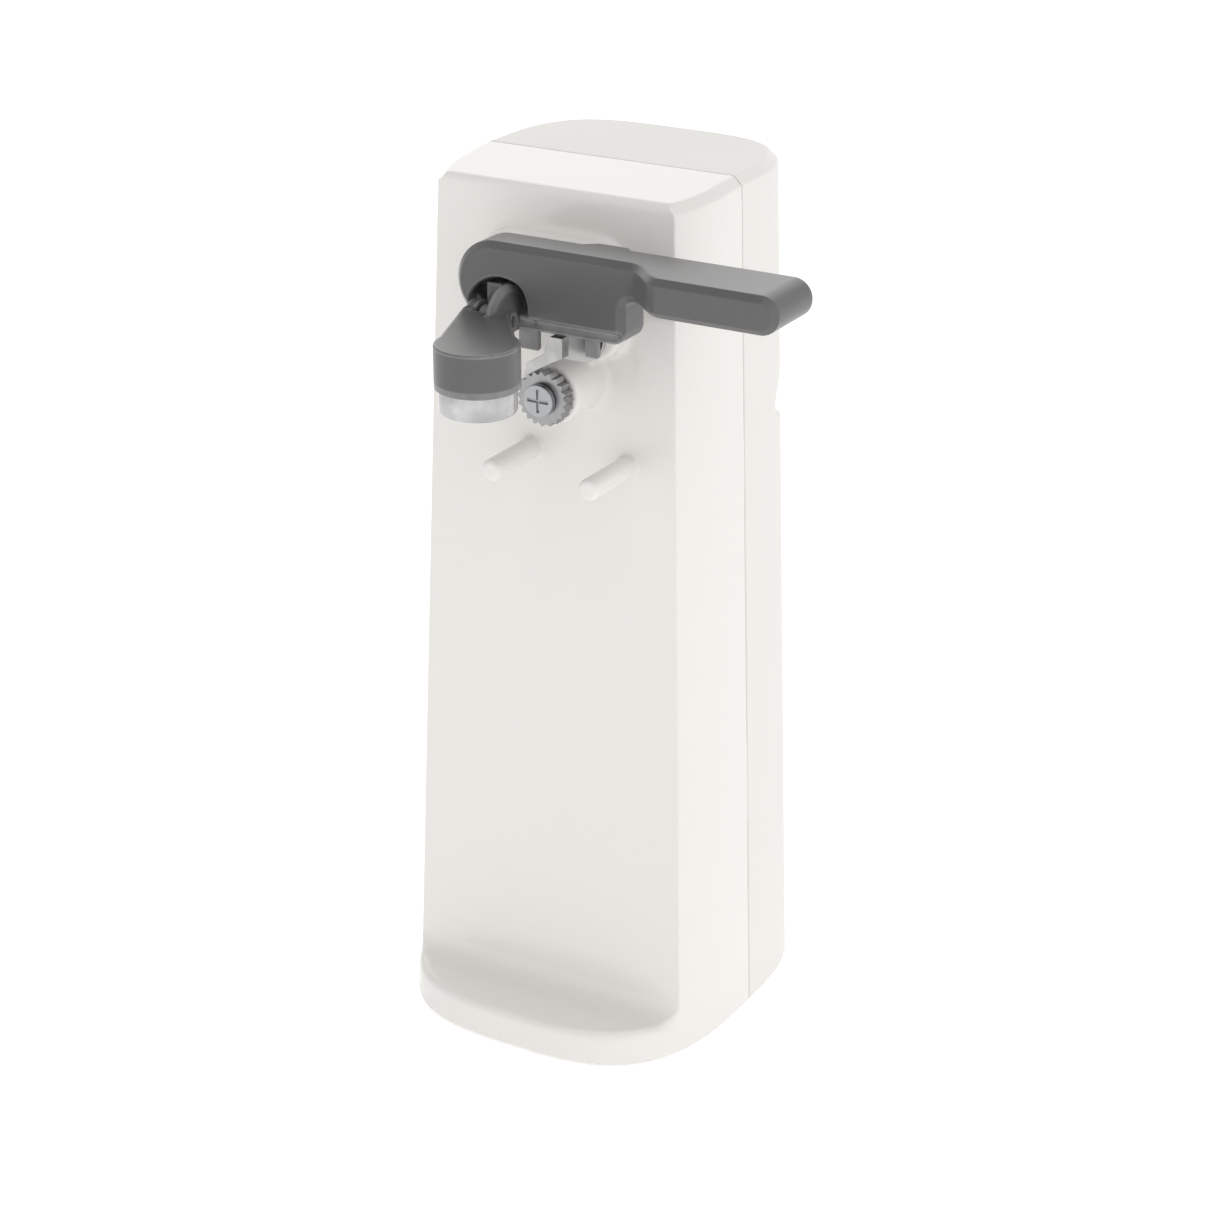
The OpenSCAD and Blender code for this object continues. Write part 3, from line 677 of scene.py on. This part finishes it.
def lever_body(x, y, z):
    outline = lever_outline(x, z)
    tilt = math.pi / 28 * np.sin(math.pi * np.clip((x - 38) / 14, 0, 1)) * 9.1
    face = (lever_front_y(x) - y) / np.sqrt(1 + tilt**2)
    back = y - lever_back_y(x)
    solid = chamfer_and(outline, face, BEVEL, 0.16)
    solid = round_and(solid, back, 0.5)
    room = np.maximum(outline + 2.6, HEAD_FRONT + 2.6 - y)
    room = np.minimum(room, np.maximum(np.maximum(np.abs(x - 15) - 19.4, z - 229), HEAD_FRONT + 2.6 - y))
    room = np.maximum(room, x - 34.2)
    web = np.maximum(-42.4 - y, np.maximum(233.8 - z, x - 20))
    room = np.maximum(room, -web)
    back_wall = np.maximum(-40.4 - y, np.maximum(225.4 - z, np.maximum(-0.5 - x, x - 20)))
    room = np.maximum(room, -back_wall)
    side_rib = np.maximum(np.abs(x - 9.6) - 1.2, 225.4 - z)
    room = np.maximum(room, -side_rib)
    solid = np.maximum(solid, -room)
    arch = np.maximum(np.hypot(x + 0.6, z - 227.6) - 11.2, y - HINGE[0] - 4.9)
    arch = round_and(arch, x - 7.9, 3.5)
    solid = round_and(solid, -arch, 0.7)
    boss = np.hypot(x - LEVER[0], z - LEVER[1])
    spindle_boss = round_and(boss - 7.5, np.maximum(-40.3 - y, y + 31), 0.4)
    solid = np.minimum(solid, spindle_boss)
    pin = np.hypot(y - HINGE[0], z - HINGE[1])
    barrel = round_and(pin - 3.4, np.abs(x + 3.7) - 2.5, 0.5)
    stay = np.maximum(np.abs(x + 3.7) - 2.5, np.maximum(np.abs(y + 44.6) - 4.0, np.abs(z - 231.9) - 4.7))
    solid = np.minimum(solid, np.minimum(barrel, stay))
    for left, right, low in ((4.4, 10.5, 219.8), (25, 29, 220.5)):
        middle, half_w = (left + right) / 2, (right - left) / 2
        lug = round_and(np.abs(x - middle) - half_w, np.abs(y + 48.7) - 0.9, 0.3)
        lug = round_and(lug, np.abs(z - (low + 229) / 2) - (229 - low) / 2, 0.6)
        solid = np.minimum(solid, lug)
    seat = np.maximum(np.abs(x - 23) - 10, np.maximum(np.abs(y + 43.9) - 1.5, np.abs(z - 235) - 9))
    solid = np.minimum(solid, seat)
    solid = np.maximum(solid, -(pin - 1.5))
    solid = np.maximum(solid, -np.maximum(boss - 4, -40.4 - y))
    for sx in (17.5, 27):
        solid = np.maximum(solid, -np.maximum(np.hypot(x - sx, z - 231) - 1.4, -47 - y))
    return solid


lever = skin(
    "lever_moulding",
    lever_body,
    (
        steps((-16, 42, 0.5), (42, 79, 0.9), (79, 87.6, 0.45)),
        steps(
            (-60.4, -57.4, 0.42), (-57.4, -51.6, 0.8), (-51.6, -46.4, 0.42), (-46.4, -42, 0.6),
            (-42, -38.8, 0.35), (-38.8, -30, 0.6)
        ),
        steps((218.6, 249.2, 0.42)),
    ),
)
# The paler colour on the bevel edges of the lever and magnet arm is a painted highlight; their hollows get
# painted shade.
DARK_GREY = finish(
    "dark_grey_nylon", (0.105, 0.105, 0.105), 0.3, (0.05, 40), (0.05, 1800), (0.06, 0.05),
    edge_highlight=(0.26, 0.26, 0.26), highlight_strength=1.2
)
finish_piece(lever, DARK_GREY, "lever", "dark_grey_plastic", "lever_body")

# ---------------------------------------------------------------------------
# Magnet arm. Dark grey nylon: a round holder, a flat arm and a domed ear that turns
# on the hinge pin, with a smaller ear on the other side of the lever's barrel.
# ---------------------------------------------------------------------------
MAGNET = (10.5, -80.0)
HOLDER_R = 11.45
ARM_TOP = 230.7
CUP_TOP = 218.7


def segment_side(x, y, a, b):
    """Distance to the left of the line from a to b."""
    dx, dy = b[0] - a[0], b[1] - a[1]
    return (dx * (y - a[1]) - dy * (x - a[0])) / math.hypot(dx, dy)


def magnet_arm(x, y, z):
    round_part = np.hypot(x - MAGNET[0], y - MAGNET[1])
    holder = round_and(round_part - HOLDER_R, np.maximum(z - ARM_TOP, CUP_TOP - z), 0.5)
    holder = np.maximum(holder, -np.maximum(round_part - 10.5, z - CUP_TOP - 1.2))
    left = segment_side(x, y, (-0.95, -80.0), (-9.8, -55.0))
    right = -segment_side(x, y, (21.6, -77.5), (4.2, -54.0))
    flat = np.maximum(np.maximum(left, right), np.maximum(y + 50.5, MAGNET[1] - y))
    flat = np.maximum(flat, np.maximum(-9.8 - x, x - MAGNET[0] - HOLDER_R))
    plate = round_and(flat, np.abs(z - ARM_TOP + 1.6) - 1.6, 0.45)
    slot = np.maximum(np.abs(x + 3.8) - 3.2, -56.5 - y)
    plate = np.maximum(plate, -slot)
    arm = np.minimum(holder, plate)
    pin = np.hypot(y - HINGE[0], z - HINGE[1])
    dome = 3.6 - 0.024 * pin**2
    ear = round_and(pin - 9.9, np.maximum(x - dome, 0.2 - x), 0.35)
    ear = np.maximum(ear, 224.2 - z)
    arm = round_or(arm, ear, 0.8)
    small_ear = round_and(pin - 4.4, np.abs(x + 8.2) - 1.6, 0.4)
    arm = np.minimum(arm, small_ear)
    root = np.maximum(np.abs(x + 8) - 1.35, np.maximum(np.abs(y + 53.2) - 2.8, np.abs(z - 227.8) - 2.9))
    arm = np.minimum(arm, root)
    return np.maximum(arm, -(pin - 1.54))


arm = skin(
    "magnet_arm_moulding",
    magnet_arm,
    (
        steps((-10.6, 4, 0.35), (4, 22.8, 0.6)),
        steps((-92.2, -60, 0.55), (-60, -39.8, 0.4)),
        steps((216, 219.6, 0.35), (219.6, 227, 0.6), (227, 238.2, 0.35)),
    ),
)
finish_piece(arm, DARK_GREY, "magnet", "dark_grey_plastic", "magnet_arm")

# ---------------------------------------------------------------------------
# Magnet. A ferrite disc in a deep-drawn chrome-plated cup, riveted into the holder.
# ---------------------------------------------------------------------------


def lathe(name, profile, centre, axis, segments=96):
    """Closed turned piece: profile is a loop of (radius, height) in mm round an axis."""
    turned = bmesh.new()
    across = {"X": (1, 2, 0), "Y": (2, 0, 1), "Z": (0, 1, 2)}[axis]
    rings = []
    for k in range(segments):
        a = 2 * math.pi * k / segments
        ring = []
        for r, h in profile:
            place = [0, 0, 0]
            place[across[0]] = centre[across[0]] + r * math.cos(a)
            place[across[1]] = centre[across[1]] + r * math.sin(a)
            place[across[2]] = centre[across[2]] + h
            ring.append(turned.verts.new([c * MM for c in place]))
        rings.append(ring)
    count = len(profile)
    for k in range(segments):
        near, far = rings[k], rings[(k + 1) % segments]
        for i in range(count):
            j = (i + 1) % count
            turned.faces.new((near[i], near[j], far[j], far[i]))
    bmesh.ops.remove_doubles(turned, verts=turned.verts, dist=1e-7)
    bmesh.ops.dissolve_degenerate(turned, edges=turned.edges, dist=1e-8)
    bmesh.ops.recalc_face_normals(turned, faces=turned.faces)
    mesh = bpy.data.meshes.new(name)
    turned.to_mesh(mesh)
    turned.free()
    mesh.shade_smooth()
    mesh.set_sharp_from_angle(angle=math.radians(35))
    return add_piece(name, mesh)


def rounded_corner(r, h, size, start, count=5):
    """Points of a quarter round of the given size round (r, h), starting at an angle in degrees."""
    turn = [math.radians(start + 90 * i / count) for i in range(count + 1)]
    return [(r + size * math.cos(t), h + size * math.sin(t)) for t in turn]


MAGNET_R = 10.45
MAGNET_Z = 212.1
# The strong slow colour drift, about 1 ± 0.8, is a painted reflection: dark and light patches in place of
# the bands a mirror shows.
CHROME = metal(
    "mirror_chrome", (0.42, 0.42, 0.425), 0.05, (1.6, 110), (0.01, 1500), (0.02, 0.02), gloss_drift=0.5
)
cup_profile = (
    [(2.2, 0.0)]
    + rounded_corner(MAGNET_R - 0.9, 0.9, 0.9, -90)
    + [(MAGNET_R, 7.6), (MAGNET_R - 1, 7.6), (MAGNET_R - 1, 1), (2.2, 1)]
)
cup = lathe("chrome_cup", cup_profile, (*MAGNET, MAGNET_Z), "Z")
finish_piece(cup, CHROME, "magnet", "chrome_plate", "magnet_cup")

# ---------------------------------------------------------------------------
# Cutter. Stamped stainless plate with a ground piercing wedge in front of it. Two
# screws hold it to the inside of the lever's head.
# ---------------------------------------------------------------------------


def arc(cx, cz, r, start, end, count):
    """Points of an arc round (cx, cz) from one angle to another in degrees."""
    turn = [math.radians(start + (end - start) * i / count) for i in range(count + 1)]
    return [(cx + r * math.cos(t), cz + r * math.sin(t)) for t in turn]


def stamping(name, outline, y_front, y_back, bevel, thin=None):
    """Flat stamped piece in the XZ plane with rounded edges.

    thin(x, z) gives the cut-back of the front face in mm, for a ground edge.
    """
    built = bmesh.new()
    front_ring = []
    for x, z in outline:
        back_off = thin(x, z) if thin else 0
        front_ring.append(built.verts.new((x * MM, (y_front + back_off) * MM, z * MM)))
    back_ring = [built.verts.new((x * MM, y_back * MM, z * MM)) for x, z in outline]
    built.faces.new(front_ring)
    built.faces.new(back_ring[::-1])
    count = len(outline)
    for i in range(count):
        j = (i + 1) % count
        built.faces.new((front_ring[j], front_ring[i], back_ring[i], back_ring[j]))
    bmesh.ops.recalc_face_normals(built, faces=built.faces)
    mesh = bpy.data.meshes.new(name)
    built.to_mesh(mesh)
    built.free()
    piece = add_piece(name, mesh)
    soften(piece, bevel)
    return piece


SHARP_ANGLE = math.radians(32)


def soften(piece, width):
    """Small rounded edges on everything sharp."""
    edges = piece.modifiers.new("edges", "BEVEL")
    edges.width = width * MM
    edges.segments = 2
    edges.limit_method = "ANGLE"
    edges.angle_limit = SHARP_ANGLE
    edges.harden_normals = True


BLADE_STEEL = metal(
    "ground_stainless", (0.42, 0.42, 0.415), 0.14, (0.9, 160), (0.05, 900), (0.06, 0.02), gloss_drift=0.5
)
plate_outline = (
    [(14, 240), (14, 223), (14.5, 219.5), (17, 218.1)] + arc(21.9, 226, 7.9, -85, 0, 8) + [(29.8, 240)]
)
blade_plate = stamping("cutter_plate", plate_outline, -47.55, -45.85, 0.25)
finish_piece(blade_plate, BLADE_STEEL, "lever", "blade_steel", "cutter_blade")
wedge_outline = [
    (14, 224.4), (12, 219.2), (8.5, 217.2), (5.6, 215.3), (4.5, 211.0), (9.5, 214.2), (15, 217.4),
    (17.8, 218.7), (17.8, 224.4)
]


def ground_edge(x, z):
    """The wedge is ground away towards its point."""
    return 1.5 * max(0.0, min(1.0, (12 - x) / 7))


wedge = stamping("piercing_wedge", wedge_outline, -49.3, -47.3, 0.12, ground_edge)
finish_piece(wedge, BLADE_STEEL, "lever", "blade_steel", "cutter_blade")


def cad_copy(node, width):
    """Merged copy of a CAD node with small rounded edges."""
    merged = bmesh.new()
    merged.from_mesh(nodes[node].data)
    bmesh.ops.remove_doubles(merged, verts=merged.verts, dist=2e-6)
    bmesh.ops.dissolve_degenerate(merged, edges=merged.edges, dist=1e-6)
    bmesh.ops.dissolve_limit(
        merged, verts=merged.verts, edges=merged.edges, angle_limit=math.radians(1)
    )
    bmesh.ops.recalc_face_normals(merged, faces=merged.faces)
    mesh = bpy.data.meshes.new(node + "_detail")
    merged.to_mesh(mesh)
    merged.free()
    mesh.shade_smooth()
    mesh.set_sharp_from_angle(angle=SHARP_ANGLE)
    piece = add_piece(node + "_detail", mesh)
    soften(piece, width)
    return piece


# ---------------------------------------------------------------------------
# Materials of everything else, one for each slot of the record.
# ---------------------------------------------------------------------------
FINISHES = {
    "gloss_white_plastic": GLOSS_WHITE,
    "grained_white_plastic": GRAINED_WHITE,
    "dark_grey_plastic": DARK_GREY,
    "blade_steel": BLADE_STEEL,
    "chrome_plate": CHROME,
    "zinc_steel": metal(
        "zinc_plated_steel", (0.4, 0.41, 0.42), 0.34, (0.25, 240), (0.06, 1400), (0.1, 0.03)
    ),
    "core_steel": metal(
        "core_sheet_steel", (0.33, 0.34, 0.36), 0.45, (0.15, 120), (0.1, 1200), (0.1, 0.03),
        ("Y", 0.5, 0.05)
    ),
    "ground_steel": metal(
        "ground_steel_rod", (0.6, 0.6, 0.6), 0.22, (0.06, 100), (0.05, 1800), (0.06, 0.02),
        ("Y", 0.25, 0.01)
    ),
    "hardened_steel": metal(
        "hardened_tool_steel", (0.34, 0.34, 0.345), 0.3, (0.3, 320), (0.08, 1500), (0.15, 0.03)
    ),
    "bronze": metal("sintered_bronze", (0.5, 0.33, 0.16), 0.42, (0.15, 160), (0.2, 3500), (0.3, 0.04)),
    "copper_wire": finish(
        "enamelled_copper", (0.55, 0.2, 0.07), 0.22, (0.12, 90), (0.05, 900), (0.1, 0.03),
        gloss_drift=0.4, metallic=0.9, bands=("Z", 0.45, 0.2), coat=0.6
    ),
}
for slot_name, name, colour, rough, drift, grain, bump in (
    ("ferrite", "sintered_ferrite", (0.05, 0.05, 0.052), 0.6, (0.2, 150), (0.2, 2600), (0.3, 0.05)),
    ("abrasive", "bonded_abrasive", (0.34, 0.3, 0.28), 0.9, (0.15, 200), (0.7, 3000), (1.0, 0.15)),
    ("rubber", "moulded_rubber", (0.07, 0.07, 0.072), 0.75, (0.15, 60), (0.15, 2200), (0.35, 0.06)),
    ("gear_nylon", "natural_nylon", (0.74, 0.71, 0.62), 0.35, (0.05, 80), (0.03, 1500), (0.08, 0.03)),
    ("ivory_plastic", "ivory_pbt", (0.76, 0.73, 0.62), 0.4, (0.05, 70), (0.04, 1500), (0.1, 0.03)),
    ("switch_plastic", "black_phenolic", (0.03, 0.03, 0.032), 0.35, (0.2, 90), (0.1, 1500), (0.1, 0.03)),
    ("button_plastic", "red_button", (0.5, 0.05, 0.04), 0.35, (0.08, 200), (0.05, 1500), (0.08, 0.03)),
):
    FINISHES[slot_name] = finish(name, colour, rough, drift, grain, bump, gloss_drift=0.4)

# ---------------------------------------------------------------------------
# Drive wheel. Hardened steel with coarse teeth that grip the can's rim, held on the
# end of the drive shaft by a cross-head screw.
# ---------------------------------------------------------------------------
for node, width, slot_name in (
    ("drive_wheel", 0.12, "hardened_steel"),
    ("drive_wheel_screw", 0.3, "zinc_steel"),
    ("drive_shaft", 0.2, "ground_steel"),
):
    finish_piece(cad_copy(node, width), FINISHES[slot_name], "drive", slot_name, node)

# ---------------------------------------------------------------------------
# Screws of the case and of the base. Cross-head, zinc plated. Geometry nodes put one
# at each place and turn each by its own amount, as they stop when driven home.
# ---------------------------------------------------------------------------


def copies_group():
    """Copies of one unit at the points of a mesh, each turned a little about its own Y axis."""
    group = bpy.data.node_groups.new("copies_at_points", "GeometryNodeTree")
    io = group.interface
    io.new_socket("Geometry", in_out="INPUT", socket_type="NodeSocketGeometry")
    for label, kind, value in (
        ("Unit", "NodeSocketObject", None),
        ("Turn", "NodeSocketVector", (0, 0, 0)),
        ("Spin", "NodeSocketFloat", 0.5),
        ("Seed", "NodeSocketInt", 1),
        ("Material", "NodeSocketMaterial", None),
    ):
        made = io.new_socket(label, in_out="INPUT", socket_type=kind)
        if value is not None:
            made.default_value = value
    io.new_socket("Geometry", in_out="OUTPUT", socket_type="NodeSocketGeometry")
    given = group.nodes.new("NodeGroupInput").outputs
    points = add_node(group, "GeometryNodeMeshToPoints", {"Mesh": given["Geometry"]})
    unit = add_node(group, "GeometryNodeObjectInfo", {"Object": given["Unit"]})
    low = add_node(group, "ShaderNodeMath", {0: given["Spin"], 1: -1.0}, operation="MULTIPLY")
    spin = add_node(group, "FunctionNodeRandomValue", {"Seed": given["Seed"]}, data_type="FLOAT")
    group.links.new(low.outputs[0], spin.inputs[2])
    group.links.new(given["Spin"], spin.inputs[3])
    about = add_node(group, "ShaderNodeCombineXYZ", {"Y": spin.outputs[1]})
    turned = add_node(
        group,
        "FunctionNodeRotateRotation",
        {"Rotation": given["Turn"], "Rotate By": about.outputs[0]},
        rotation_space="LOCAL",
    )
    placed = add_node(
        group,
        "GeometryNodeInstanceOnPoints",
        {
            "Points": points.outputs[0],
            "Instance": unit.outputs["Geometry"],
            "Rotation": turned.outputs[0],
        },
    )
    real = add_node(group, "GeometryNodeRealizeInstances", {"Geometry": placed.outputs[0]})
    coloured = add_node(
        group,
        "GeometryNodeSetMaterial",
        {"Geometry": real.outputs[0], "Material": given["Material"]},
    )
    out = group.nodes.new("NodeGroupOutput")
    group.links.new(coloured.outputs[0], out.inputs["Geometry"])
    return group


COPIES = copies_group()


def evaluated_mesh(piece, name):
    """Plain mesh of a piece with its modifiers carried out."""
    bpy.context.view_layer.update()
    seen = piece.evaluated_get(bpy.context.evaluated_depsgraph_get())
    mesh = bpy.data.meshes.new_from_object(seen)
    mesh.name = name
    return mesh


def place_copies(name, unit, places, turn, seed, material):
    """One piece with a copy of the unit at each place in mm. The unit is removed."""
    points = bpy.data.meshes.new(name + "_points")
    points.from_pydata([[c * MM for c in p] for p in places], [], [])
    holder = add_piece(name + "_points", points)
    modifier = holder.modifiers.new("copies", "NODES")
    modifier.node_group = COPIES
    values = {"Unit": unit, "Turn": turn, "Spin": 0.7, "Seed": seed, "Material": material}
    for item in COPIES.interface.items_tree:
        if item.in_out == "INPUT" and item.name in values:
            modifier[item.identifier] = values[item.name]
    mesh = evaluated_mesh(holder, name)
    bpy.data.objects.remove(holder)
    bpy.data.objects.remove(unit)
    return add_piece(name, mesh)


def screw(name, head_r, head_h, shank_r, length):
    """Cross-head screw along Y with its head on +Y. The thread is a row of rings."""
    rings = 14
    pitch = length / rings
    quarter = [math.radians(90 * i / 6) for i in range(7)]
    dome = [(head_r * math.cos(t), head_h * (0.35 + 0.65 * math.sin(t))) for t in quarter]
    thread = []
    for i in range(rings):
        h = -length + i * pitch
        thread += [(shank_r * 0.8, h), (shank_r * 0.98, h + pitch * 0.45), (shank_r * 0.98, h + pitch * 0.6)]
    profile = [(0.0, -length - 0.6)] + thread + [(shank_r * 0.9, 0.0), (head_r, 0.0)] + dome
    body = lathe(name, profile, (0, 0, 0), "Y", 32)
    slots = bmesh.new()
    slot_size = Matrix.Diagonal((head_r * 1.15 * MM, head_h * 1.1 * MM, head_r * 0.24 * MM, 1))
    for turn in (0, math.pi / 2):
        across_head = Matrix.Rotation(turn, 4, "Y") @ Matrix.Translation((0, head_h * MM, 0))
        bmesh.ops.create_cube(slots, size=1, matrix=across_head @ slot_size)
    cross_mesh = bpy.data.meshes.new("cross")
    slots.to_mesh(cross_mesh)
    slots.free()
    cross = add_piece("cross", cross_mesh)
    cut = body.modifiers.new("cross", "BOOLEAN")
    cut.operation = "DIFFERENCE"
    cut.object = cross
    cut.use_self = True
    mesh = evaluated_mesh(body, name)
    body.modifiers.clear()
    body.data = mesh
    mesh.set_sharp_from_angle(angle=math.radians(35))
    bpy.data.objects.remove(cross)
    return body


ZINC = FINISHES["zinc_steel"]
case_set = place_copies(
    "case_screw_set", screw("case_screw", 2.75, 1.7, 1.6, 9.4),
    [(x, 21.85, z) for x, z in CASE_POINTS], (0, 0, 0), 3, ZINC
)
finish_piece(case_set, ZINC, "housing", "zinc_steel", "case_screws")
BASE_POINTS = ((-33, -20), (33, -20), (-33, 36), (33, 36))
base_set = place_copies(
    "base_screw_set", screw("base_screw", 2.9, 1.9, 1.5, 5.4),
    [(x, y, 5.95) for x, y in BASE_POINTS], (-math.pi / 2, 0, 0), 5, ZINC
)
finish_piece(base_set, ZINC, "housing", "zinc_steel", "base_screws")

# ---------------------------------------------------------------------------
# Everything else keeps its CAD shape. Edges that can be seen from outside get a small
# radius, and every piece gets the material of its slot.
# ---------------------------------------------------------------------------
SOFTENED = {
    "base_plate": 0.3,
    "foot_ring": 0.5,
    "cord_inlet": 0.35,
    "knife_guide": 0.3,
    "sharpening_wheel": 0.4,
    "sharpening_wheel_nut": 0.25,
    "magnet_core": 0.3,
    "magnet_rivet": 0.2,
    "hinge_pin": 0.2,
    "cutter_screws": 0.15,
    "spindle_screw": 0.2,
    "lever_bush": 0.2,
    "lever_spindle": 0.2,
    "drive_bushes": 0.2,
}
bodies = frame["record"]["behaviour"]["bodies"]
body_of_node = {node: body for body, members in bodies.items() for node in members}
for part in frame["record"]["subparts"]:
    node, slot_name = part["node"], part["material_slot"]
    if node in SOFTENED:
        piece = cad_copy(node, SOFTENED[node])
        finish_piece(piece, FINISHES[slot_name], body_of_node[node], slot_name, node)
    elif not nodes[node].hide_render:
        nodes[node].data.materials.clear()
        nodes[node].data.materials.append(FINISHES[slot_name])
